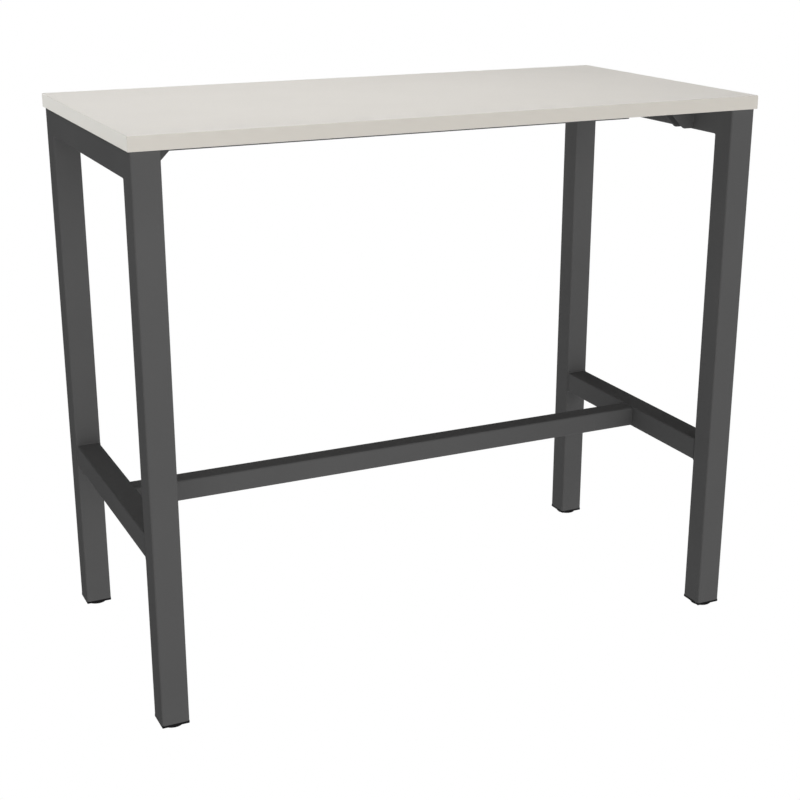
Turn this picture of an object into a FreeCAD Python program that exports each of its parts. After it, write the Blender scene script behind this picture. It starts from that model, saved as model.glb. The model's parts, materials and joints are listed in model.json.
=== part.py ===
"""Standing meeting table: a melamine worktop on two square-tube end frames, with a foot rail.

Millimetres. +X runs along the table, +Y to its back and +Z up. The origin is on the floor, under the
middle of the worktop. Every sub-part is a closed solid of its own, written to parts/NODE.step.
"""

import FreeCAD
import Part
import math
import os

from FreeCAD import Vector

# ---------------------------------------------------------------- worktop
worktop_length = 1200.0
worktop_depth = 600.0
worktop_thickness = 25.0
table_height = 1045.0        # with its feet screwed in
edge_band_thickness = 2.0
edge_band_round = 1.0
laminate_thickness = 0.8

# ---------------------------------------------------------------- end frames
frame_tube_side = 50.0       # legs and top rails
frame_tube_wall = 2.0
frame_tube_corner = 3.5      # outside corner radius
least_inside_corner = 0.3    # where a wall is as thick as its corner's radius
overhang_length = 4.0        # worktop past the legs, at each end
overhang_depth = 4.0         # worktop past the legs, front and back
crossbar_side = 45.0
crossbar_wall = 2.0
crossbar_corner = 3.0
crossbar_top_height = 355.0  # where a foot rests

# ---------------------------------------------------------------- foot rail between the crossbars
foot_rail_side = 40.0
foot_rail_wall = 2.0
foot_rail_corner = 3.0
foot_rail_spigot_length = 60.0

# ---------------------------------------------------------------- beam under the worktop
beam_side = 45.0
beam_wall = 2.0
beam_corner = 3.0
beam_end_gap = 44.0          # bare spigot between the beam's end and the top rail
beam_spigot_insertion = 40.0

# ---------------------------------------------------------------- spigots inside the two long tubes
spigot_wall = 2.0
spigot_corner = 2.5
spigot_clearance = 0.5       # each side, inside the tube that slides over it

# ---------------------------------------------------------------- clamping screws of the long tubes
clamp_screw_diameter = 6.0
clamp_hole_clearance = 0.25  # radial, in the tube walls
clamp_head_diameter = 11.0
clamp_head_height = 3.3
clamp_socket_across = 4.0    # hexagon socket in the head
clamp_socket_depth = 1.8
clamp_point_length = 1.5     # screw past its nut
clamp_nut_across = 10.0
clamp_nut_height = 5.0
thread_clearance = 0.05      # radial, between a plain shank and a plain nut bore
clamp_end_margin = 10.0      # first screw from the end of the inserted spigot

# ---------------------------------------------------------------- brackets that hold the worktop down
bracket_width = 30.0
bracket_sheet = 2.0
bracket_bend = 3.0           # outside bend radius
bracket_drop = 48.0
bracket_foot = 22.0          # flat lower edge, beside the top rail
bracket_tip_round = 10.0     # where that edge turns into the slanting one
bracket_leg_gap = 84.0       # from a leg's inner face to the bracket's middle
bracket_screw_inset = 14.0   # from the bracket's two ends
wood_screw_diameter = 4.5
wood_screw_depth = 16.0      # in the board
wood_screw_point = 5.0
wood_hole_clearance = 0.05   # radial, in the board
wood_slot_clearance = 0.4    # radial, in the sheet
wood_head_diameter = 9.0
wood_head_height = 2.6
wood_recess_width = 1.2
wood_recess_length = 5.0
wood_recess_depth = 1.6

# ---------------------------------------------------------------- levelling feet
pad_diameter = 42.0
pad_height = 5.1
pad_rim_height = 3.0
pad_shoulder_diameter = 24.0
pad_chamfer = 0.8
pad_floor = 1.0              # under the stud's head
pad_slot_width = 1.0         # four slots let the pad's lip spring over the head
pad_slot_span = 18.0         # across two opposite slots
pad_gap = 0.3                # under the flange
stud_head_diameter = 12.0
stud_head_height = 2.0
stud_head_clearance = 0.2    # all round, in the pad
stud_neck_diameter = 7.0
stud_diameter = 8.0
stud_end_chamfer = 1.0
stud_passage_clearance = 0.2 # radial, through the insert
key_across = 5.0             # hexagon socket in the stud's underside
key_depth = 3.6
key_hole_diameter = 8.0      # in the pad's floor
insert_flange_height = 4.5
insert_flange_corner = 1.5   # sharper than the leg's
insert_flange_round = 0.6
insert_plug_height = 24.0
insert_plug_wall = 2.0
insert_clearance = 0.15      # each side, inside the leg
insert_rib = 1.8
insert_boss_diameter = 17.0
bush_diameter = 12.0
bush_length = 14.0
bush_recess = 2.0            # bush above the flange's top
bush_clearance = 0.02
foot_travel = 15.0           # how far a foot screws out

# ---------------------------------------------------------------- places worked out from the sizes above
underside = table_height - worktop_thickness
leg_x = worktop_length / 2 - overhang_length - frame_tube_side / 2
leg_y = worktop_depth / 2 - overhang_depth - frame_tube_side / 2
frame_bay = 2 * leg_y - frame_tube_side              # between the front and back legs
bracket_offset = frame_bay / 2 - bracket_leg_gap     # from the middle of the table's depth
rail_inner_x = leg_x - frame_tube_side / 2
rail_centre_height = underside - frame_tube_side / 2
crossbar_centre_height = crossbar_top_height - crossbar_side / 2
crossbar_inner_x = leg_x - crossbar_side / 2
beam_end_x = rail_inner_x - beam_end_gap
beam_spigot_end_x = beam_end_x - beam_spigot_insertion
foot_rail_spigot_end_x = crossbar_inner_x - foot_rail_spigot_length
stud_head_bottom = pad_floor + stud_head_clearance
stud_head_top = stud_head_bottom + stud_head_height
pad_lip_bottom = stud_head_top + stud_head_clearance
flange_underside = pad_height + pad_gap
leg_bottom = flange_underside + insert_flange_height
bush_bottom = leg_bottom + bush_recess
bush_top = bush_bottom + bush_length
stud_top = bush_top + foot_travel                    # still fills its bush when screwed right out
bracket_reach = bracket_foot + bracket_drop          # its lower corner is cut off at 45 degrees

sides = {"left": -1, "right": 1}
ends = {"front": -1, "back": 1}
corners = {f"{end}_{side}": (sides[side], ends[end]) for end in ends for side in sides}

along_x = FreeCAD.Rotation(Vector(0, 1, 0), 90)
along_y = FreeCAD.Rotation(Vector(1, 0, 0), -90)
along_z = FreeCAD.Rotation()
middle = Vector(0, 0, 0)

nodes = {}


# ---------------------------------------------------------------- shapes used more than once
def rounded_square(side, corner):
    """A square face with round corners, centred on the origin in the XY plane."""
    half = side / 2
    flat = half - corner
    bulge = flat + corner * math.sqrt(0.5)
    edges = []
    for quarter in range(4):
        turn = FreeCAD.Rotation(Vector(0, 0, 1), 90 * quarter)
        start = turn.multVec(Vector(half, flat, 0))
        mid = turn.multVec(Vector(bulge, bulge, 0))
        stop = turn.multVec(Vector(flat, half, 0))
        following = turn.multVec(Vector(-flat, half, 0))
        edges.append(Part.Arc(start, mid, stop).toShape())
        edges.append(Part.LineSegment(stop, following).toShape())
    return Part.Face(Part.Wire(edges))


def square_bar(side, corner, length):
    """A solid bar with round corners, standing on the XY plane."""
    return rounded_square(side, corner).extrude(Vector(0, 0, length))


def square_tube(side, wall, corner, length):
    """A tube standing on the XY plane. The inside corners keep the wall's thickness."""
    inner_corner = max(corner - wall, least_inside_corner)
    bore = square_bar(side - 2 * wall, inner_corner, length)
    return square_bar(side, corner, length).cut(bore)


def hexagon(across, height, base):
    """A hexagonal prism about the Z axis, with its flats across the given width."""
    radius = across / math.sqrt(3)
    angles = [math.radians(60 * turn) for turn in range(7)]
    points = [Vector(radius * math.cos(a), radius * math.sin(a), base) for a in angles]
    return Part.Face(Part.makePolygon(points)).extrude(Vector(0, 0, height))


def rod(diameter, length, base):
    """A round bar about the Z axis, from the height base upwards."""
    return Part.makeCylinder(diameter / 2, length, Vector(0, 0, base))


def centred_box(x_size, y_size, bottom, top, centre=middle):
    """A box centred on a point in plan, between two heights."""
    corner = Vector(centre.x - x_size / 2, centre.y - y_size / 2, bottom)
    return Part.makeBox(x_size, y_size, top - bottom, corner)


def placed(shape, rotation, position):
    """A copy of the shape, turned about the origin and then moved."""
    moved = shape.copy()
    moved.Placement = FreeCAD.Placement(position, rotation).multiply(moved.Placement)
    return moved


def revolved(profile):
    """A solid turned about the Z axis from the (radius, height) points round its section."""
    points = [Vector(radius, 0, height) for radius, height in profile]
    outline = Part.makePolygon(points + points[:1])
    return Part.Face(outline).revolve(middle, Vector(0, 0, 1), 360)


def domed_head(diameter, height):
    """A screw's head as a cap of a sphere, hanging from the plane Z = 0."""
    half = diameter / 2
    sphere_radius = (half ** 2 + height ** 2) / (2 * height)
    sphere = Part.makeSphere(sphere_radius, Vector(0, 0, sphere_radius - height))
    return sphere.common(centred_box(diameter, diameter, -height, 0))


def group(shapes):
    """Identical loose pieces that share one node."""
    return Part.makeCompound(shapes)


# ---------------------------------------------------------------- worktop
def bracket_screw_places():
    """Where the wood screws enter the board: two for each bracket, on its centre line."""
    outer = rail_inner_x - bracket_screw_inset
    inner = rail_inner_x - bracket_reach + bracket_screw_inset
    return [Vector(side * x, end * bracket_offset, 0)
            for side in sides.values() for end in ends.values() for x in (outer, inner)]


def add_worktop():
    """Core board, a laminate on each face and an edge band on each of the four edges."""
    board = centred_box(worktop_length, worktop_depth, underside, table_height)
    rounded = board.makeFillet(edge_band_round, board.Edges)
    inner_length = worktop_length - 2 * edge_band_thickness
    inner_depth = worktop_depth - 2 * edge_band_thickness
    core_bottom = underside + laminate_thickness
    core_top = table_height - laminate_thickness

    pilot_radius = wood_screw_diameter / 2 + wood_hole_clearance
    pilots = [Part.makeCylinder(pilot_radius, wood_screw_depth, place + Vector(0, 0, underside))
              for place in bracket_screw_places()]
    core = centred_box(inner_length, inner_depth, core_bottom, core_top)
    lower = centred_box(inner_length, inner_depth, underside, core_bottom)
    nodes["worktop_core"] = core.cut(pilots)
    nodes["worktop_lower_laminate"] = lower.cut(pilots)
    nodes["worktop_upper_laminate"] = centred_box(inner_length, inner_depth, core_top, table_height)

    for end, sign in ends.items():
        middle_of_band = Vector(0, sign * (worktop_depth - edge_band_thickness) / 2, 0)
        strip = centred_box(worktop_length, edge_band_thickness, underside, table_height, middle_of_band)
        nodes[f"edge_band_{end}"] = rounded.common(strip)
    for side, sign in sides.items():
        middle_of_band = Vector(sign * (worktop_length - edge_band_thickness) / 2, 0, 0)
        strip = centred_box(edge_band_thickness, inner_depth, underside, table_height, middle_of_band)
        nodes[f"edge_band_{side}"] = rounded.common(strip)


# ---------------------------------------------------------------- end frames
def add_end_frames():
    """Two legs, a top rail and a foot crossbar at each end. The rails butt against the legs."""
    leg = square_tube(frame_tube_side, frame_tube_wall, frame_tube_corner, underside - leg_bottom)
    for name, (side, end) in corners.items():
        nodes[f"leg_{name}"] = placed(leg, along_z, Vector(side * leg_x, end * leg_y, leg_bottom))

    rail = square_tube(frame_tube_side, frame_tube_wall, frame_tube_corner, frame_bay)
    crossbar = square_tube(crossbar_side, crossbar_wall, crossbar_corner, frame_bay)
    for side, sign in sides.items():
        front = -frame_bay / 2
        nodes[f"top_rail_{side}"] = placed(rail, along_y, Vector(sign * leg_x, front, rail_centre_height))
        nodes[f"foot_crossbar_{side}"] = placed(
            crossbar, along_y, Vector(sign * leg_x, front, crossbar_centre_height))


# ---------------------------------------------------------------- long tubes on their spigots
def clamp_holes(places, outer_bottom, depth):
    """Holes for the clamping screws, up through a tube's lower wall."""
    radius = clamp_screw_diameter / 2 + clamp_hole_clearance
    return [Part.makeCylinder(radius, depth, Vector(x, 0, outer_bottom)) for x in places]


def clamp_screw(grip):
    """A button-head screw about Z, its head under the origin and its shank above it."""
    head = domed_head(clamp_head_diameter, clamp_head_height)
    socket = hexagon(clamp_socket_across, clamp_socket_depth, -clamp_head_height)
    length = grip + clamp_nut_height + clamp_point_length
    return head.cut(socket).fuse(rod(clamp_screw_diameter, length, 0))


def clamp_nut():
    """A hexagonal weld nut about Z, standing on the origin."""
    bore = rod(clamp_screw_diameter + 2 * thread_clearance, clamp_nut_height, 0)
    return hexagon(clamp_nut_across, clamp_nut_height, 0).cut(bore)


def add_spigoted_tube(tube_name, spigot_name, section, half_length, spigot_span, height):
    """A long tube along X that slides over a spigot at each end and is clamped from below.

    section is the tube's side, wall and corner; spigot_span is where a spigot starts and ends along X.
    """
    side_size, wall, corner = section
    spigot_side = side_size - 2 * wall - 2 * spigot_clearance
    spigot_end, spigot_root = spigot_span
    tube_bottom = height - side_size / 2
    spigot_floor = height - spigot_side / 2 + spigot_wall
    grip = spigot_floor - tube_bottom

    first = spigot_end + clamp_end_margin
    last = half_length - clamp_end_margin
    screw_xs = [sign * x for sign in sides.values() for x in (first, last)]
    holes = clamp_holes(screw_xs, tube_bottom, grip)

    tube = square_tube(side_size, wall, corner, 2 * half_length)
    nodes[tube_name] = placed(tube, along_x, Vector(-half_length, 0, height)).cut(holes)
    spigot = square_tube(spigot_side, spigot_wall, spigot_corner, spigot_root - spigot_end)
    for side, sign in sides.items():
        start = spigot_end if sign > 0 else -spigot_root
        nodes[f"{spigot_name}_{side}"] = placed(spigot, along_x, Vector(start, 0, height)).cut(holes)

    screw = clamp_screw(grip)
    nut = clamp_nut()
    screws = [placed(screw, along_z, Vector(x, 0, tube_bottom)) for x in screw_xs]
    nuts = [placed(nut, along_z, Vector(x, 0, spigot_floor)) for x in screw_xs]
    nodes[f"{tube_name}_screws"] = group(screws)
    nodes[f"{tube_name}_nuts"] = group(nuts)


def add_long_tubes():
    """The beam under the worktop and the foot rail between the crossbars."""
    add_spigoted_tube("under_top_beam", "beam_spigot", (beam_side, beam_wall, beam_corner),
                      beam_end_x, (beam_spigot_end_x, rail_inner_x), rail_centre_height)
    add_spigoted_tube("foot_rail", "foot_rail_spigot", (foot_rail_side, foot_rail_wall, foot_rail_corner),
                      crossbar_inner_x, (foot_rail_spigot_end_x, crossbar_inner_x), crossbar_centre_height)


# ---------------------------------------------------------------- worktop brackets
def bracket_offcut():
    """Outline of what the slanting cut takes off a bracket's lower corner, in the XZ plane."""
    tangent = bracket_tip_round * math.tan(math.radians(22.5))
    slant = tangent * math.sqrt(0.5)
    centre = Vector(bracket_foot - tangent, 0, bracket_tip_round - bracket_drop)
    half_way = math.radians(-67.5)
    flat_end = Vector(bracket_foot - tangent, 0, -bracket_drop)
    bulge = centre + Vector(math.cos(half_way), 0, math.sin(half_way)) * bracket_tip_round
    slant_start = Vector(bracket_foot + slant, 0, slant - bracket_drop)
    below = -bracket_drop - bracket_sheet
    rest = [slant_start, Vector(bracket_reach, 0, 0), Vector(bracket_reach, 0, below),
            Vector(flat_end.x, 0, below), flat_end]
    return Part.Wire([Part.Arc(flat_end, bulge, slant_start).toShape()] + Part.makePolygon(rest).Edges)


def bracket():
    """A folded channel, open below, from its rail at the origin towards +X, under the plane Z = 0."""
    bend = square_bar(bracket_width, bracket_bend, bracket_reach)
    channel = placed(bend, along_x, Vector(0, 0, -bracket_width / 2))
    below = centred_box(bracket_reach, bracket_width, -bracket_drop, -bracket_width / 2,
                        Vector(bracket_reach / 2, 0, 0))
    inner_width = bracket_width - 2 * bracket_sheet
    inner_bend = max(bracket_bend - bracket_sheet, least_inside_corner)
    inner_bar = square_bar(inner_width, inner_bend, bracket_reach)
    hollow = placed(inner_bar, along_x, Vector(0, 0, -bracket_sheet - inner_width / 2))
    hollow_below = centred_box(bracket_reach, inner_width, -bracket_drop, -bracket_width / 2,
                               Vector(bracket_reach / 2, 0, 0))
    folded = channel.fuse(below).cut([hollow, hollow_below])

    wedge = Part.Face(bracket_offcut()).extrude(Vector(0, bracket_width, 0))
    wedge.translate(Vector(0, -bracket_width / 2, 0))
    radius = wood_screw_diameter / 2 + wood_slot_clearance
    holes = [Part.makeCylinder(radius, bracket_sheet, Vector(x, 0, -bracket_sheet))
             for x in (bracket_screw_inset, bracket_reach - bracket_screw_inset)]
    return folded.cut([wedge] + holes).removeSplitter()


def wood_screw():
    """A dome-head screw about Z, with its head under the sheet and its point in the board."""
    radius = wood_screw_diameter / 2
    tip = wood_screw_depth - wood_hole_clearance
    shoulder = tip - wood_screw_point
    shank = revolved([(0, -bracket_sheet), (radius, -bracket_sheet), (radius, shoulder), (0, tip)])
    head = domed_head(wood_head_diameter, wood_head_height)
    head.translate(Vector(0, 0, -bracket_sheet))
    recess_bottom = -bracket_sheet - wood_head_height
    recess_top = recess_bottom + wood_recess_depth
    slots = [centred_box(wood_recess_length, wood_recess_width, recess_bottom, recess_top),
             centred_box(wood_recess_width, wood_recess_length, recess_bottom, recess_top)]
    return head.cut(slots).fuse(shank)


def add_brackets():
    """Two brackets on each top rail, and the wood screws that hold the worktop to them."""
    shape = bracket()
    for name, (side, end) in corners.items():
        facing = FreeCAD.Rotation(Vector(0, 0, 1), 0 if side < 0 else 180)
        place = Vector(side * rail_inner_x, end * bracket_offset, underside)
        nodes[f"top_bracket_{name}"] = placed(shape, facing, place)
    screw = wood_screw()
    screws = [placed(screw, along_z, place + Vector(0, 0, underside)) for place in bracket_screw_places()]
    nodes["top_bracket_screws"] = group(screws)


# ---------------------------------------------------------------- levelling feet
def foot_insert():
    """A moulded plug for the leg's open end, about Z: flange, hollow plug, ribs and a boss."""
    flange = square_bar(frame_tube_side, insert_flange_corner, insert_flange_height)
    lower_edges = [edge for edge in flange.Edges if edge.BoundBox.ZMax < insert_flange_height / 2]
    flange = flange.makeFillet(insert_flange_round, lower_edges)
    flange.translate(Vector(0, 0, flange_underside))

    plug_side = frame_tube_side - 2 * frame_tube_wall - 2 * insert_clearance
    plug_corner = max(frame_tube_corner - frame_tube_wall, least_inside_corner)
    plug = square_tube(plug_side, insert_plug_wall, plug_corner, insert_plug_height)
    plug.translate(Vector(0, 0, leg_bottom))
    rib_length = plug_side - insert_plug_wall
    rib_top = leg_bottom + insert_plug_height
    ribs = [centred_box(rib_length, insert_rib, leg_bottom, rib_top),
            centred_box(insert_rib, rib_length, leg_bottom, rib_top)]
    boss = rod(insert_boss_diameter, insert_plug_height, leg_bottom)

    passage_diameter = stud_diameter + 2 * stud_passage_clearance
    passage = rod(passage_diameter, rib_top - flange_underside, flange_underside)
    bush_seat = rod(bush_diameter + 2 * bush_clearance, rib_top - bush_bottom, bush_bottom)
    return flange.fuse([plug] + ribs + [boss]).cut([passage, bush_seat]).removeSplitter()


def foot_bush():
    """The threaded metal bush in the insert's boss."""
    bore = rod(stud_diameter + 2 * thread_clearance, bush_length, bush_bottom)
    return rod(bush_diameter, bush_length, bush_bottom).cut(bore)


def foot_stud():
    """Threaded stud with a flat head that turns in the pad, and a hexagon socket in its underside."""
    head = rod(stud_head_diameter, stud_head_height, stud_head_bottom)
    neck = rod(stud_neck_diameter, flange_underside - stud_head_top, stud_head_top)
    shank = rod(stud_diameter, stud_top - flange_underside, flange_underside)
    top_edges = [edge for edge in shank.Edges if edge.BoundBox.ZMin > stud_top - stud_end_chamfer]
    shank = shank.makeChamfer(stud_end_chamfer, top_edges)
    socket = hexagon(key_across, key_depth, stud_head_bottom)
    return head.fuse([neck, shank]).cut(socket).removeSplitter()


def foot_pad():
    """The moulded pad: a flat disc with a slotted lip that holds the stud's head, and a hole for the key."""
    radius = pad_diameter / 2
    shoulder = pad_shoulder_diameter / 2
    key_hole = key_hole_diameter / 2
    cavity = stud_head_diameter / 2 + stud_head_clearance
    lip = stud_neck_diameter / 2 + stud_head_clearance
    outline = [(key_hole, 0), (radius - pad_chamfer, 0), (radius, pad_chamfer), (radius, pad_rim_height),
               (shoulder, pad_height), (lip, pad_height), (lip, pad_lip_bottom), (cavity, pad_lip_bottom),
               (cavity, pad_floor), (key_hole, pad_floor)]
    slots = [centred_box(pad_slot_span, pad_slot_width, pad_lip_bottom, pad_height),
             centred_box(pad_slot_width, pad_slot_span, pad_lip_bottom, pad_height)]
    return revolved(outline).cut(slots)


def add_feet():
    """A plug, bush, stud and pad under each leg."""
    pieces = {"insert": foot_insert(), "bush": foot_bush(), "stud": foot_stud(), "pad": foot_pad()}
    for piece, shape in pieces.items():
        for name, (side, end) in corners.items():
            nodes[f"foot_{piece}_{name}"] = placed(shape, along_z, Vector(side * leg_x, end * leg_y, 0))


# ---------------------------------------------------------------- build and write
add_worktop()
add_end_frames()
add_long_tubes()
add_brackets()
add_feet()

os.makedirs("parts", exist_ok=True)
for node, node_shape in nodes.items():
    node_shape.exportStep(f"parts/{node}.step")
    print(node, "solids", len(node_shape.Solids), "valid", node_shape.isValid(),
          "volume", round(node_shape.Volume, 1))
print("nodes", len(nodes))
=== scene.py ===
import bmesh
import bpy
import json
import math
import numpy as np
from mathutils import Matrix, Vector


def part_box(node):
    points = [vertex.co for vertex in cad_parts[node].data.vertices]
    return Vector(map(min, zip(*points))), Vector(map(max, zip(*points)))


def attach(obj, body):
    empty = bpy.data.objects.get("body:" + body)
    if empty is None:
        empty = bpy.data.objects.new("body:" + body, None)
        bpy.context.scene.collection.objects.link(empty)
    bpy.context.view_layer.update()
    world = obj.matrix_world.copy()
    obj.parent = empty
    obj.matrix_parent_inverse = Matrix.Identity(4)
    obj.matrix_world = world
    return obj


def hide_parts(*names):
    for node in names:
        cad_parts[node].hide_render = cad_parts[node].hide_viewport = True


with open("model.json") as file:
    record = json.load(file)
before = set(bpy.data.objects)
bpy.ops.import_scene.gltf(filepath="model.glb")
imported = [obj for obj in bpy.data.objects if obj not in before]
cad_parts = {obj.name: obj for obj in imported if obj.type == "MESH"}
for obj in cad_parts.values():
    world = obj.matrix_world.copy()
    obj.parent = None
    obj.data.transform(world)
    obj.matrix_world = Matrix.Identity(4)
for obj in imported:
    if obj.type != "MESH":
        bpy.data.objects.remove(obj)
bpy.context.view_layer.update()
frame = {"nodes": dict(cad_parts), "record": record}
cadNodes = frame["nodes"]
mm = 0.001
sides = ("left", "right")
cornerNames = [f"{end}_{side}" for end in ("front", "back") for side in sides]
print("frame loaded:", len(cadNodes), "nodes")

scene = bpy.context.scene
scene.view_settings.view_transform = "Standard"
scene.view_settings.look = "None"


# every shader formula below is written with this class: an operator adds its Math node
class Tone:
    def __init__(self, paint, socket):
        self.paint = paint
        self.socket = socket

    def maths(self, operation, *values):
        return self.paint.add("ShaderNodeMath", {"operation": operation}, dict(enumerate(values)))

    def __add__(self, other):
        return self.maths("ADD", self, other)

    def __radd__(self, other):
        return self.maths("ADD", other, self)

    def __sub__(self, other):
        return self.maths("SUBTRACT", self, other)

    def __rsub__(self, other):
        return self.maths("SUBTRACT", other, self)

    def __mul__(self, other):
        return self.maths("MULTIPLY", self, other)

    def __rmul__(self, other):
        return self.maths("MULTIPLY", other, self)

    def __abs__(self):
        return self.maths("ABSOLUTE", self)


# one node tree, of a material or of the world
class Paint:
    def __init__(self, owner, output):
        owner.use_nodes = True
        self.owner = owner
        self.tree = owner.node_tree
        self.tree.nodes.clear()
        self.output = self.tree.nodes.new(output)

    # makes any node: first its settings, then the values or links of its sockets
    def add(self, kind, settings=None, sockets=None, result=0):
        node = self.tree.nodes.new(kind)
        for name, value in (settings or {}).items():
            setattr(node, name, value)
        for name, value in (sockets or {}).items():
            if isinstance(value, Tone):
                self.tree.links.new(value.socket, node.inputs[name])
            elif node.inputs[name].type == "RGBA":
                node.inputs[name].default_value = (*value, 1)
            else:
                node.inputs[name].default_value = value
        return Tone(self, node.outputs[result])

    # the spot on the piece, in metres, stretched along each axis
    def place(self, stretch=(1, 1, 1)):
        here = self.add("ShaderNodeTexCoord", result="Object")
        return self.add("ShaderNodeVectorMath", {"operation": "MULTIPLY"}, {0: here, 1: stretch})

    # fractal noise around 0.5, with this many grains to the metre
    def noise(self, where, grains, detail=2.0, rough=0.5):
        return self.add("ShaderNodeTexNoise", {}, {"Vector": where, "Scale": grains, "Detail": detail,
                                                   "Roughness": rough})

    # distance to the middle of the nearest cell, with this many cells to the metre
    def cells(self, where, grains, feature="F1"):
        return self.add("ShaderNodeTexVoronoi", {"feature": feature}, {"Vector": where, "Scale": grains})

    def mix(self, first, second, share):
        return self.add("ShaderNodeMix", {"data_type": "RGBA"}, {0: share, 6: first, 7: second}, result=2)

    def bump(self, height, depth, strength=1.0):
        return self.add("ShaderNodeBump", {}, {"Height": height, "Distance": depth, "Strength": strength})

    def show(self, shader):
        self.tree.links.new(shader.socket, self.output.inputs["Surface"])
        return self.owner

    def surface(self, sockets):
        return self.show(self.add("ShaderNodeBsdfPrincipled", {}, sockets))

    # the x, y and z of a direction
    def parts(self, direction):
        split = self.add("ShaderNodeSeparateXYZ", {}, {0: direction}).socket.node
        return [Tone(self, part) for part in split.outputs]

    # the three parts of the surface's normal, without their signs
    def facing(self):
        return [abs(part) for part in self.parts(self.add("ShaderNodeTexCoord", result="Normal"))]

    # 0 on the flats, 1 halfway round an edge and 2 where three edges meet: twice the sum of the products
    # of the normal's parts
    def corners(self):
        x, y, z = self.facing()
        return (x * y + y * z + z * x) * 2.0


def newPaint(name):
    return Paint(bpy.data.materials.new(name), "ShaderNodeOutputMaterial")


powderCoat = {"dark": (0.0735, 0.0735, 0.0745), "light": (0.1110, 0.1110, 0.1110),
              "grains": 1500, "speckle": 2.4, "waves": 5, "drift": 0.35, "cornerShine": 0.06,
              "roughness": 0.7, "waveRoughness": 0.08, "cornerPolish": 0.05, "gloss": 0.0,
              "pebbles": 900, "pebbleShare": 0.4, "depth": 0.12 * mm}


# share of the light tone = 0.5 + fine speckle + slow drift + a painted highlight that lightens the round
# corners;
# height = the same speckle over broader pebbles
def makePowderCoat():
    p = newPaint("powder_coat")
    where = p.place()
    speckle = p.noise(where, powderCoat["grains"], detail=3, rough=0.6)
    pebbles = p.cells(where, powderCoat["pebbles"], "SMOOTH_F1")
    waves = p.noise(where, powderCoat["waves"])
    corner = p.corners()
    share = 0.5 + (speckle - 0.5) * powderCoat["speckle"] + (waves - 0.5) * powderCoat["drift"]
    # painted highlight: the round corners are made lighter in colour, standing for the light they catch
    share = share + corner * powderCoat["cornerShine"]
    height = speckle * (1 - powderCoat["pebbleShare"]) + pebbles * powderCoat["pebbleShare"]
    roughness = powderCoat["roughness"] + (waves - 0.5) * powderCoat["waveRoughness"]
    return p.surface({
        "Base Color": p.mix(powderCoat["dark"], powderCoat["light"], share),
        "Roughness": roughness - corner * powderCoat["cornerPolish"],
        "Specular IOR Level": powderCoat["gloss"],
        "Normal": p.bump(height, powderCoat["depth"])})


melamine = {
    "face": {"colour": (0.885, 0.866, 0.832), "shade": (0.815, 0.798, 0.764),
             "roughness": 0.5, "gloss": 0.6},
    # painted shade: the underside is the same melamine, painted darker than the face
    "underInShade": {"colour": (0.64, 0.63, 0.60), "shade": (0.60, 0.59, 0.56),
              "roughness": 0.55, "gloss": 0.5},
    "pearls": 1100, "pearlContrast": 1.6, "pearlRoughness": 0.3, "clouds": 9, "cloudContrast": 0.5,
    "depth": 0.10 * mm}


# share of shade = 0.5 + fine pearls + broad faint clouds; height = the same pearls, pressed in
def makeMelamine(layer):
    p = newPaint(f"melamine_{layer}")
    own = melamine[layer]
    where = p.place()
    pearls = p.noise(where, melamine["pearls"])
    clouds = p.noise(where, melamine["clouds"], detail=3)
    share = 0.5 + (pearls - 0.5) * melamine["pearlContrast"] + (clouds - 0.5) * melamine["cloudContrast"]
    return p.surface({
        "Base Color": p.mix(own["colour"], own["shade"], share),
        "Roughness": own["roughness"] + (pearls - 0.5) * melamine["pearlRoughness"],
        "Specular IOR Level": own["gloss"],
        "Normal": p.bump(pearls, melamine["depth"])})


# long is painted shade and short is painted light: one band, toned by which way its edge faces
edgeBand = {"long": (0.518, 0.490, 0.440), "short": (0.686, 0.663, 0.593), "top": (0.85, 0.833, 0.80),
            "grains": 1600, "roughness": 0.35, "grainRoughness": 0.1, "gloss": 1.0, "depth": 0.06 * mm}


# the long edges are painted darker and the short ones lighter, painted shade and painted light on one band
# colour, and its rounded top turns into the melamine's own tone: each share is the square of the normal's
# part that way
def makeEdgeBand():
    p = newPaint("edge_band")
    fine = p.noise(p.place(), edgeBand["grains"], detail=3, rough=0.55)
    x, _, z = p.facing()
    litAndShadedEdges = p.mix(edgeBand["long"], edgeBand["short"], x * x)
    return p.surface({
        "Base Color": p.mix(litAndShadedEdges, edgeBand["top"], z * z),
        "Roughness": edgeBand["roughness"] + (fine - 0.5) * edgeBand["grainRoughness"],
        "Specular IOR Level": edgeBand["gloss"],
        "Normal": p.bump(fine, edgeBand["depth"])})


chipboard = {"pale": (0.58, 0.44, 0.27), "dark": (0.33, 0.22, 0.12), "chips": 420, "fibres": 1680,
             "fibreShare": 0.3, "squash": 3, "roughness": 0.85, "fibreRoughness": 0.1,
             "depth": 0.25 * mm, "relief": 0.5}


# colour follows flat chips: cells squashed upright, with a fine noise for the fibres
def makeChipboard():
    p = newPaint("chipboard")
    where = p.place((1, 1, chipboard["squash"]))
    chips = p.cells(where, chipboard["chips"])
    fibres = p.noise(where, chipboard["fibres"], detail=3)
    share = chips * (1 - chipboard["fibreShare"]) + fibres * chipboard["fibreShare"]
    return p.surface({
        "Base Color": p.mix(chipboard["pale"], chipboard["dark"], share),
        "Roughness": chipboard["roughness"] + (fibres - 0.5) * chipboard["fibreRoughness"],
        "Normal": p.bump(chips, chipboard["depth"], chipboard["relief"])})


zincPlate = {"bright": (0.64, 0.64, 0.62), "dull": (0.48, 0.48, 0.46), "spangles": 260, "scratches": 1200,
             "squash": 8, "roughness": 0.34, "spangleRoughness": 0.2, "scratchRoughness": 0.1,
             "depth": 0.02 * mm, "relief": 0.4}


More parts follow.
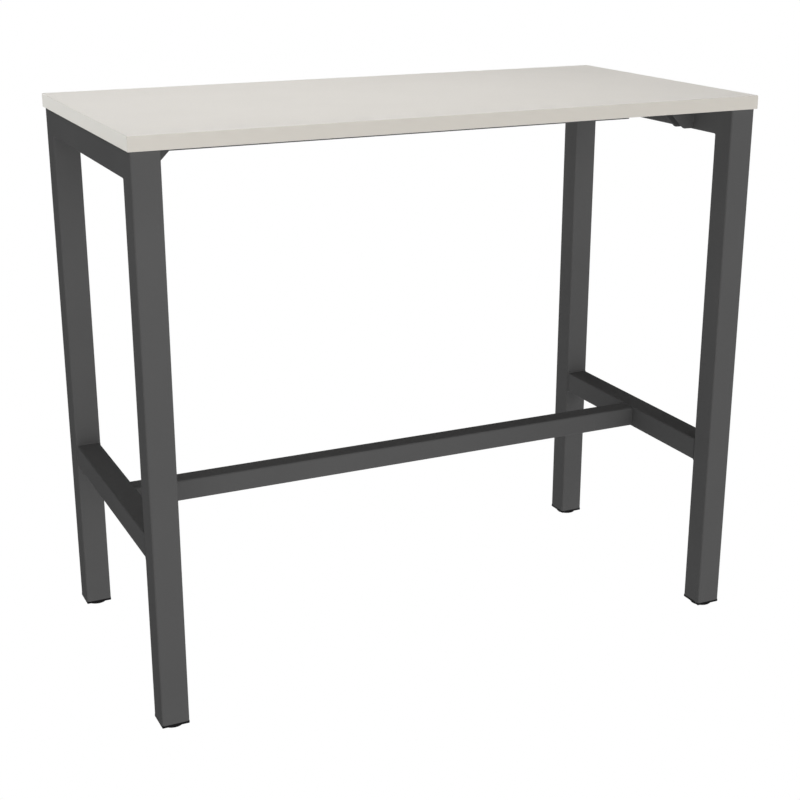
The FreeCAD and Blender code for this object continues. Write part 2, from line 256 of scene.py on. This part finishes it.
# colour and roughness wander with broad spangles, and fine scratches run round the thread
def makeZincPlate():
    p = newPaint("zinc_plate")
    spangles = p.noise(p.place(), zincPlate["spangles"], detail=3)
    scratches = p.noise(p.place((1, 1, zincPlate["squash"])), zincPlate["scratches"])
    roughness = zincPlate["roughness"] + (spangles - 0.5) * zincPlate["spangleRoughness"]
    return p.surface({
        "Base Color": p.mix(zincPlate["bright"], zincPlate["dull"], spangles),
        "Metallic": 1.0,
        "Roughness": roughness + (scratches - 0.5) * zincPlate["scratchRoughness"],
        "Normal": p.bump(scratches, zincPlate["depth"], zincPlate["relief"])})


blackOxide = {"black": (0.018, 0.018, 0.019), "worn": (0.07, 0.068, 0.065), "patches": 700,
              "patchWear": 0.4, "cornerWear": 0.3, "metal": 0.6, "roughness": 0.42,
              "patchRoughness": 0.2, "depth": 0.02 * mm, "relief": 0.4}


# the oxide is rubbed lighter in small patches and on corners: wear = patches + corners, each with its share
def makeBlackOxide():
    p = newPaint("black_oxide")
    patches = p.noise(p.place(), blackOxide["patches"], detail=3)
    wear = patches * blackOxide["patchWear"] + p.corners() * blackOxide["cornerWear"]
    return p.surface({
        "Base Color": p.mix(blackOxide["black"], blackOxide["worn"], wear),
        "Metallic": blackOxide["metal"],
        "Roughness": blackOxide["roughness"] + (patches - 0.5) * blackOxide["patchRoughness"],
        "Normal": p.bump(patches, blackOxide["depth"], blackOxide["relief"])})


footPlastic = {"black": (0.004, 0.004, 0.0045), "scuffed": (0.010, 0.010, 0.010), "clouds": 60,
               "cloudScuff": 0.4, "cornerScuff": 0.4, "grains": 1300, "roughness": 0.6,
               "grainRoughness": 0.16, "gloss": 0.08, "depth": 0.04 * mm, "relief": 0.5}


# a spark-eroded mould's grain, a little paler in broad clouds and where the corners are scuffed
def makeFootPlastic():
    p = newPaint("foot_plastic")
    where = p.place()
    grain = p.noise(where, footPlastic["grains"])
    clouds = p.noise(where, footPlastic["clouds"])
    scuff = clouds * footPlastic["cloudScuff"] + p.corners() * footPlastic["cornerScuff"]
    return p.surface({
        "Base Color": p.mix(footPlastic["black"], footPlastic["scuffed"], scuff),
        "Roughness": footPlastic["roughness"] + (grain - 0.5) * footPlastic["grainRoughness"],
        "Specular IOR Level": footPlastic["gloss"],
        "Normal": p.bump(grain, footPlastic["depth"], footPlastic["relief"])})


bushBrass = {"bright": (0.74, 0.57, 0.27), "dull": (0.50, 0.36, 0.15), "patches": 300,
             "roughness": 0.36, "patchRoughness": 0.2, "depth": 0.03 * mm, "relief": 0.4}


# tarnish dulls the brass in soft patches, which are rougher too
def makeBushBrass():
    p = newPaint("bush_brass")
    tarnish = p.noise(p.place(), bushBrass["patches"], detail=3)
    return p.surface({
        "Base Color": p.mix(bushBrass["bright"], bushBrass["dull"], tarnish),
        "Metallic": 1.0,
        "Roughness": bushBrass["roughness"] + (tarnish - 0.5) * bushBrass["patchRoughness"],
        "Normal": p.bump(tarnish, bushBrass["depth"], bushBrass["relief"])})


finishes = {
    "frame_coat": makePowderCoat(),
    "worktop_laminate": makeMelamine("face"),
    "worktop_underside": makeMelamine("underInShade"),
    "worktop_edge": makeEdgeBand(),
    "worktop_board": makeChipboard(),
    "zinc_steel": makeZincPlate(),
    "black_screws": makeBlackOxide(),
    "foot_plastic": makeFootPlastic(),
    "bush_brass": makeBushBrass(),
}

for row in frame["record"]["subparts"]:
    mesh = cadNodes[row["node"]].data
    mesh.materials.clear()
    mesh.materials.append(finishes[row["material_slot"]])
print("finishes on the frame's nodes:", len(finishes))


# faces of a grid whose columns go right round, as the numbers of their points from first on: quads between
# neighbouring rows and columns. Where the rows don't go round too, a many-sided face shuts each end
def gridFaces(rows, columns, closedRows, first):
    numbers = first + np.arange(rows * columns).reshape(rows, columns)
    ends = [] if closedRows else [numbers[0].tolist(), numbers[-1].tolist()]
    if closedRows:
        numbers = np.vstack([numbers, numbers[:1]])
    numbers = np.column_stack([numbers, numbers[:, 0]])
    quads = np.stack([numbers[:-1, :-1], numbers[1:, :-1], numbers[1:, 1:], numbers[:-1, 1:]], 2)
    return quads.reshape(-1, 4).tolist() + ends


# one mesh from several grids, each given as its points, rows x columns x 3, and whether its rows go round.
# Every face is turned outwards, or inwards on what is seen from inside
def meshOfGrids(name, grids, inwards=False):
    points, faces = [], []
    for grid, closedRows in grids:
        rows, columns = grid.shape[:2]
        faces += gridFaces(rows, columns, closedRows, sum(len(part) for part in points))
        points.append(grid.reshape(-1, 3))
    mesh = bpy.data.meshes.new(name)
    mesh.from_pydata(np.concatenate(points).tolist(), [], faces)
    shell = bmesh.new()
    shell.from_mesh(mesh)
    bmesh.ops.recalc_face_normals(shell, faces=shell.faces)
    if inwards:
        bmesh.ops.reverse_faces(shell, faces=shell.faces)
    shell.to_mesh(mesh)
    shell.free()
    return mesh


sharpAngle = 40  # in degrees: where two faces meet at more than this, their edge stays sharp


def makePiece(name, grids, body, slot):
    mesh = meshOfGrids(name, grids)
    mesh.polygons.foreach_set("use_smooth", np.ones(len(mesh.polygons), bool))
    mesh.set_sharp_from_angle(angle=math.radians(sharpAngle))
    mesh.materials.append(finishes[slot])
    piece = bpy.data.objects.new(name, mesh)
    scene.collection.objects.link(piece)
    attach(piece, body)
    return piece


# a node's lowest corner, highest corner and middle
def boxOf(node):
    low, high = (np.array(end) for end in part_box(node))
    return low, high, (low + high) / 2


# what all the weld beads share
bead = {
    "step": 0.25 * mm,
    "facePoints": 7,
    "rippleLength": 1.5 * mm,
    "ripple": 0.07,  # the leg's swing, as a share of it
    "lag": 0.5,  # how far a ripple's middle trails its ends, in legs
    "bulge": 0.12,  # how proud of straight the face's middle stands, as a share of the bead's size
    "tip": 0.35,  # the leg at an open end as a share of the full one, squared
    "root": 0.4 * mm,  # the root's depth inside both of the welded faces
}


# outline of a square tube: straight sides joined by quarter circles. Turns distances along it into
# points and outward directions, as complex numbers
def tubeOutline(distance, half, corner):
    flat = 2 * (half - corner)
    quarter = flat + corner * math.pi / 2
    side = np.floor(distance / quarter)
    along = distance - side * quarter
    angle = np.clip((along - flat) / corner, 0, math.pi / 2)
    straight = np.minimum(along, flat)
    centre = (half - corner) + 1j * (straight - (half - corner))
    turn = 1j ** side
    outward = np.exp(1j * angle) * turn
    return centre * turn + corner * outward, outward


# a fillet weld: its face swings from the tube's wall to the plate at reach = leg / (cos + sin), a little
# proud of straight, and the leg swells and shrinks with overlapping ripples. The last point is the root
def weldGrid(line, outward, axis, leg, closed):
    step = np.linalg.norm(np.roll(line, -1, 0) - line, axis=1)
    travelled = np.concatenate([[0], np.cumsum(step)[:-1]])
    angle = np.linspace(0, math.pi / 2, bead["facePoints"])
    lag = bead["lag"] * leg * np.sin(2 * angle)
    length = bead["rippleLength"]
    if closed:  # a whole number of ripples meets itself
        length = step.sum() / round(step.sum() / length)
    wave = 1 + bead["ripple"] * np.cos(2 * math.pi * (travelled[:, None] - lag[None]) / length)
    reach = leg * wave / (np.cos(angle) + np.sin(angle)) * (1 + bead["bulge"] * np.sin(2 * angle))
    if not closed:  # the leg shrinks towards both ends
        fromEnd = np.minimum(travelled, travelled[-1] - travelled)
        reach = reach * np.sqrt(np.clip(fromEnd / leg + bead["tip"], 0, 1))[:, None]
    face = line[:, None] + reach[..., None] * (np.cos(angle)[None, :, None] * axis
                                               + np.sin(angle)[None, :, None] * outward[:, None])
    root = line - bead["root"] * (axis + outward)
    return np.concatenate([face, root[:, None]], 1)


# a weld all round the end of a square tube that meets a plate at place; the tube runs away along axis, and
# right and up are the directions of its section
def weldRound(place, axis, right, up, half, weld):
    corner = weld["corner"]
    whole = 4 * (2 * (half - corner) + corner * math.pi / 2)
    distance = np.linspace(0, whole, round(whole / bead["step"]), endpoint=False)
    spot, outward = tubeOutline(distance, half, corner)
    axis, right, up, place = (np.array(v, float) for v in (axis, right, up, place))
    line = place + spot.real[:, None] * right + spot.imag[:, None] * up
    direction = outward.real[:, None] * right + outward.imag[:, None] * up
    return weldGrid(line, direction, axis, weld["leg"], True), True


crossbarWeld = {"leg": 2.2 * mm, "corner": 3.0 * mm}


# the crossbars are welded all round to the legs' inner faces
def addCrossbarWelds(side):
    low, high, middle = boxOf(f"foot_crossbar_{side}")
    half = (high[2] - low[2]) / 2
    grids = []
    for y, along in ((low[1], 1), (high[1], -1)):
        place = (middle[0], y, middle[2])
        grids.append(weldRound(place, (0, along, 0), (1, 0, 0), (0, 0, 1), half, crossbarWeld))
    makePiece(f"crossbar_welds_{side}", grids, "root", "frame_coat")


railWeld = {
    "leg": 2.2 * mm,
    "corner": 3.5 * mm,
    "ripple": 0.21,
    "over": 1.6 * mm,  # at the sides, from the joint to the heel on the rail
    "beyond": 0.9 * mm,  # at the sides, from the leg's skin to the toe inside it
    "crown": 0.12 * mm,  # how proud the ground fill stands at the sides
    "sink": 0.03 * mm,  # how deep the fill's edges lie in the rail's skin
    "buried": 0.08 * mm,  # how deep the toe lies in the leg's skin
    "rootIn": 0.8 * mm,  # at the sides, how much further in the root lies, along the rail
    "rootDown": 1.2 * mm,  # and under its skin
    "upTo": 3.0 * mm,  # how far the bead runs on up each side, past where its outline ends
    "short": 0.0025 * mm,  # how far short of the outline's end the last spot is read
}


# the weld round a top rail's end. Beside the leg's round corner it fills the groove and is ground flush;
# under the rail it is a fillet. share = 1 below and 0 at the sides. Each row of points runs from the heel on
# the rail to the toe on the leg, bulging outwards by a sine, and ends at the root
def railWeldGrid(place, along, half):
    corner, leg, sink = railWeld["corner"], railWeld["leg"], railWeld["sink"]
    flat = 2 * (half - corner)
    quarter = flat + corner * math.pi / 2
    start, stop = 2 * quarter, 4 * quarter + flat  # down one side, along the bottom and up the other
    travelled = np.arange(start - railWeld["upTo"], stop + railWeld["upTo"], bead["step"])
    above = np.maximum(start - travelled, 0) + np.maximum(travelled - stop, 0)
    spot, outward = tubeOutline(np.clip(travelled, start, stop - railWeld["short"]), half, corner)
    share = np.clip(-outward.imag, 0, 1) ** 2
    ripple = 1 + railWeld["ripple"] * np.cos(2 * math.pi * travelled / bead["rippleLength"])

    toeOut = leg * share - sink * (1 - share)
    across = np.abs(spot.real) + toeOut * np.abs(outward.real)
    intoCorner = np.clip(across - (half - corner), 0, corner)  # how far the toe is round the leg's corner
    legSkin = np.sqrt(corner ** 2 - intoCorner ** 2) - corner
    toeAlong = legSkin - railWeld["beyond"] * (1 - share) - railWeld["buried"]
    heelAlong = (railWeld["over"] + (leg - railWeld["over"]) * share) * (1 - above / corner)
    heelOut = -sink * (1 - share)
    bulge = railWeld["crown"] * (1 - share) + bead["bulge"] * leg * share * ripple

    part = np.linspace(0, 1, bead["facePoints"])
    runAlong, runOut = toeAlong - heelAlong, toeOut - heelOut
    length = np.hypot(runAlong, runOut)
    swell = bulge[:, None] * np.sin(math.pi * part)
    facesAlong = heelAlong[:, None] + runAlong[:, None] * part + (runOut / length)[:, None] * swell
    facesOut = heelOut[:, None] + runOut[:, None] * part - (runAlong / length)[:, None] * swell
    rootAlong = -bead["root"] - railWeld["rootIn"] * (1 - share)
    rootOut = -bead["root"] - railWeld["rootDown"] * (1 - share)
    pointsAlong = np.column_stack([facesAlong, rootAlong])
    pointsOut = np.column_stack([facesOut, rootOut])
    x = place[0] + spot.real[:, None] + outward.real[:, None] * pointsOut
    y = place[1] + along * pointsAlong
    z = place[2] + spot.imag[:, None] + above[:, None] + outward.imag[:, None] * pointsOut
    return np.stack([x, y, z], 2)


# the top rails are welded to the legs' inner faces, round their sides and underside
def addRailWelds(side):
    low, high, middle = boxOf(f"top_rail_{side}")
    half = (high[2] - low[2]) / 2
    grids = []
    for y, along in ((low[1], 1), (high[1], -1)):
        grids.append((railWeldGrid((middle[0], y, middle[2]), along, half), False))
    makePiece(f"top_rail_welds_{side}", grids, "root", "frame_coat")


spigotWeld = {"leg": 1.98 * mm, "corner": 2.5 * mm}


# the beam's spigots are welded all round to the top rails' inner faces
def addSpigotWeld(side):
    low, high, middle = boxOf(f"beam_spigot_{side}")
    half = (high[2] - low[2]) / 2
    x, inwards = (low[0], 1) if side == "left" else (high[0], -1)
    place = (x, middle[1], middle[2])
    grid = weldRound(place, (inwards, 0, 0), (0, 1, 0), (0, 0, 1), half, spigotWeld)
    makePiece(f"beam_spigot_weld_{side}", [grid], "root", "frame_coat")


bracketWeld = {"leg": 1.7 * mm, "top": 8 * mm, "length": 28 * mm}


# one upright bead outside each of a bracket's two flanges
def addBracketWelds(corner):
    low, high = boxOf(f"top_bracket_{corner}")[:2]
    x, inwards = (low[0], 1) if corner.endswith("left") else (high[0], -1)
    axis = np.array((inwards, 0.0, 0.0))
    top = high[2] - bracketWeld["top"]
    height = np.arange(top, top - bracketWeld["length"], -bead["step"])
    grids = []
    for y, out in ((low[1], -1), (high[1], 1)):
        line = np.stack([np.full_like(height, x), np.full_like(height, y), height], 1)
        outward = np.tile((0.0, out, 0.0), (len(height), 1))
        grids.append((weldGrid(line, outward, axis, bracketWeld["leg"], False), False))
    makePiece(f"top_bracket_welds_{corner}", grids, "root", "frame_coat")


for side in sides:
    addCrossbarWelds(side)
    addRailWelds(side)
    addSpigotWeld(side)
for corner in cornerNames:
    addBracketWelds(corner)
print("welds made")


stud = {"pitch": 1.25 * mm, "depthOfPitch": 0.6134, "crest": 4.0 * mm, "endChamfer": 1.0 * mm,
        "neck": 3.5 * mm, "neckTop": 4.2 * mm, "headHeight": 2.0 * mm, "chamfer": 0.3 * mm,
        "keyFlat": 2.5 * mm, "keyDepth": 3.6 * mm, "drill": 2.25 * mm, "drillTip": 0.6 * mm,
        "drillPoint": 0.1 * mm, "rowsPerTurn": 16, "columns": 40}


# distance from the axis to the wall of a hexagon whose corners lie at 0, 60, 120 ... degrees
def hexagonRadius(turn, flat):
    return flat / np.cos(np.mod(turn, math.pi / 3) - math.pi / 6)


# a right-handed thread: with d as the distance along the axis from the nearest crest, in pitches, the radius
# is root + depth * (3/8 - d) / (5/16), kept between root and crest: a flat crest of 1/8 and a flat root of
# 1/4 of the pitch, with 60 degrees between the flanks. It grows out of the neck and ends in a chamfer
def threadRadius(turn, height, length):
    pitch, neck = stud["pitch"], stud["neck"]
    depth = stud["depthOfPitch"] * pitch
    phase = np.mod(height / pitch - turn / (2 * math.pi), 1)
    fromCrest = np.minimum(phase, 1 - phase)
    root = stud["crest"] - depth
    ridge = root + depth * np.clip((3 / 8 - fromCrest) / (5 / 16), 0, 1)
    least = neck + (root - neck) * np.clip(height / pitch, 0, 1)
    most = np.minimum(neck + height, stud["crest"] - stud["endChamfer"] + (length - height))
    return np.minimum(np.maximum(ridge, least), most)


# a stud's skin as rings from the bottom of its key socket, out over its head and up its thread to the top
def addStud(corner):
    low, high, middle = boxOf(f"foot_stud_{corner}")
    head = (high[0] - low[0]) / 2
    turn = np.linspace(0, 2 * math.pi, stud["columns"], endpoint=False)
    key = hexagonRadius(turn, stud["keyFlat"])
    chamfer, neck = stud["chamfer"], stud["neck"]
    socketTop, headTop, neckTop = stud["keyDepth"], stud["headHeight"], stud["neckTop"]
    rings = [(stud["drillPoint"], socketTop + stud["drillTip"]), (stud["drill"], socketTop),
             (key, socketTop), (key, chamfer), (key + chamfer, 0.0),
             (head - chamfer, 0.0), (head, chamfer), (head, headTop - chamfer), (head - chamfer, headTop),
             (neck + chamfer, headTop), (neck, headTop + chamfer), (neck, neckTop)]
    radius = np.stack([ring + 0 * turn for ring, height in rings])
    height = np.array([height for ring, height in rings])
    length = high[2] - low[2] - neckTop
    steps = np.linspace(0, length, round(length / stud["pitch"] * stud["rowsPerTurn"]))[1:]
    radius = np.concatenate([radius, threadRadius(turn[None], steps[:, None], length)])
    height = np.concatenate([height, neckTop + steps])
    grid = np.stack([middle[0] + radius * np.cos(turn), middle[1] + radius * np.sin(turn),
                     low[2] + height[:, None] + 0 * radius], 2)
    piece = makePiece(f"levelling_stud_{corner}", [(grid, False)], f"stud_{corner}", "zinc_steel")
    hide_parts(f"foot_stud_{corner}")


for corner in cornerNames:
    addStud(corner)
print("threaded studs made")


# in metres. The floor lies below the feet when they are screwed right out
backdrop = {"floor": -0.02, "radius": 40.0, "curve": 12.0, "wallTop": 38.0, "lid": 40.0, "pole": 1.0,
            "bends": 12, "columns": 96, "glow": 1.0}


# a white sweep all round: a flat floor that curves up into a wall and closes over the top. It is seen from
# inside only, and it takes no part in lighting the table, which the room and the lamps do
def makeBackdrop():
    p = newPaint("backdrop")
    white = p.add("ShaderNodeEmission", {}, {"Strength": backdrop["glow"]})
    clear = p.add("ShaderNodeBsdfTransparent")
    outside = p.add("ShaderNodeNewGeometry", result="Backfacing")
    p.show(p.add("ShaderNodeMixShader", {}, {0: outside, 1: white, 2: clear}))
    bend = np.linspace(0, math.pi / 2, backdrop["bends"])
    reach = backdrop["radius"] + backdrop["curve"] * np.sin(bend)
    rise = backdrop["curve"] * (1 - np.cos(bend))
    reach = np.concatenate([[backdrop["pole"]], reach, [reach[-1], backdrop["pole"]]])
    rise = np.concatenate([[0.0], rise, [backdrop["wallTop"], backdrop["lid"]]]) + backdrop["floor"]
    turn = np.linspace(0, 2 * math.pi, backdrop["columns"], endpoint=False)
    grid = np.stack([reach[:, None] * np.cos(turn), reach[:, None] * np.sin(turn),
                     rise[:, None] + 0 * turn], 2)
    mesh = meshOfGrids("backdrop", [(grid, False)], inwards=True)
    mesh.materials.append(p.owner)
    sweep = bpy.data.objects.new("backdrop", mesh)
    scene.collection.objects.link(sweep)
    sweep.visible_diffuse = sweep.visible_glossy = sweep.visible_shadow = False


room = {"above": 0.05, "below": 1.03}


# brightness = above, or below where the direction points down: the glow of a white floor
def makeRoom():
    p = Paint(bpy.data.worlds.new("room"), "ShaderNodeOutputWorld")
    height = p.parts(p.add("ShaderNodeTexCoord", result="Generated"))[2]
    down = height.maths("LESS_THAN", height, 0.0)
    glow = room["above"] + (room["below"] - room["above"]) * down
    scene.world = p.show(p.add("ShaderNodeBackground", {}, {"Strength": glow}))


# far lamps: where each one shines from, how wide it looks in degrees, its strength and colour
farLamps = {
    "front": {"from": (0.0, -0.985, 0.174), "width": 40, "strength": 1.10, "colour": (1.0, 0.99, 0.98)},
    "front_right": {"from": (0.492, -0.853, 0.174), "width": 40, "strength": 0.41,
                    "colour": (1.0, 0.99, 0.98)},
    "back_left": {"from": (-0.492, 0.853, 0.174), "width": 40, "strength": 0.63, "colour": (1.0, 1.0, 1.0)},
    "back": {"from": (0.0, 0.707, 0.707), "width": 40, "strength": 0.35, "colour": (1.0, 0.99, 0.98)},
}
farPlace = (0, 0, 3)  # where the far lamps stand, which changes nothing: only their direction counts

# round soft boxes round the table: place and aim, width in metres, power in watts and colour
softBoxes = {
    "overhead": {"place": (0.0, 0.0, 2.8), "aim": (0.0, 0.0, 0.6), "width": 1.5, "power": 21.4,
                 "colour": (1.0, 0.98, 0.95)},
    "overhead_left": {"place": (-1.3, 0.2, 2.2), "aim": (0.0, 0.0, 0.6), "width": 0.8, "power": 4.4,
                      "colour": (1.0, 1.0, 1.0)},
    "low_left": {"place": (-1.2, -2.0, 0.9), "aim": (-0.6, 0.0, 0.6), "width": 0.8, "power": 5.0,
                 "colour": (1.0, 1.0, 1.0)},
    "high_right": {"place": (1.6, -1.2, 1.6), "aim": (0.6, -0.2, 0.9), "width": 0.8, "power": 3.6,
                   "colour": (1.0, 1.0, 1.0)},
}


# a lamp shines down its own -z axis, so its z axis is turned to point backwards
def addLamp(name, kind, power, colour, place, backwards, width):
    light = bpy.data.lights.new(name, kind)
    light.energy = power
    light.color = colour
    if kind == "SUN":
        light.angle = math.radians(width)
    else:
        light.shape = "DISK"
        light.size = width
    lamp = bpy.data.objects.new(name, light)
    lamp.location = place
    lamp.rotation_euler = Vector(backwards).to_track_quat("Z", "Y").to_euler()
    lamp.visible_camera = False
    scene.collection.objects.link(lamp)


def makeLamps():
    for name, lamp in farLamps.items():
        addLamp(name, "SUN", lamp["strength"], lamp["colour"], farPlace, lamp["from"], lamp["width"])
    for name, lamp in softBoxes.items():
        backwards = np.array(lamp["place"]) - np.array(lamp["aim"])
        addLamp(name, "AREA", lamp["power"], lamp["colour"], lamp["place"], backwards, lamp["width"])


# place and reach in metres, turn in degrees, lens and sensor in mm
camera = {"place": (-1.19198, -2.55291, 1.38617), "turn": (71.469, 0.0, -25.104), "lens": 66.874,
          "sensor": 36, "reach": 200}


def makeCamera():
    data = bpy.data.cameras.new("camera")
    data.lens = camera["lens"]
    data.sensor_width = camera["sensor"]
    data.clip_end = camera["reach"]
    eye = bpy.data.objects.new("camera", data)
    eye.location = camera["place"]
    eye.rotation_euler = [math.radians(a) for a in camera["turn"]]
    scene.collection.objects.link(eye)
    scene.camera = eye


makeBackdrop()
makeRoom()
makeLamps()
makeCamera()
print("stage, lights and camera made")

bpy.context.view_layer.update()
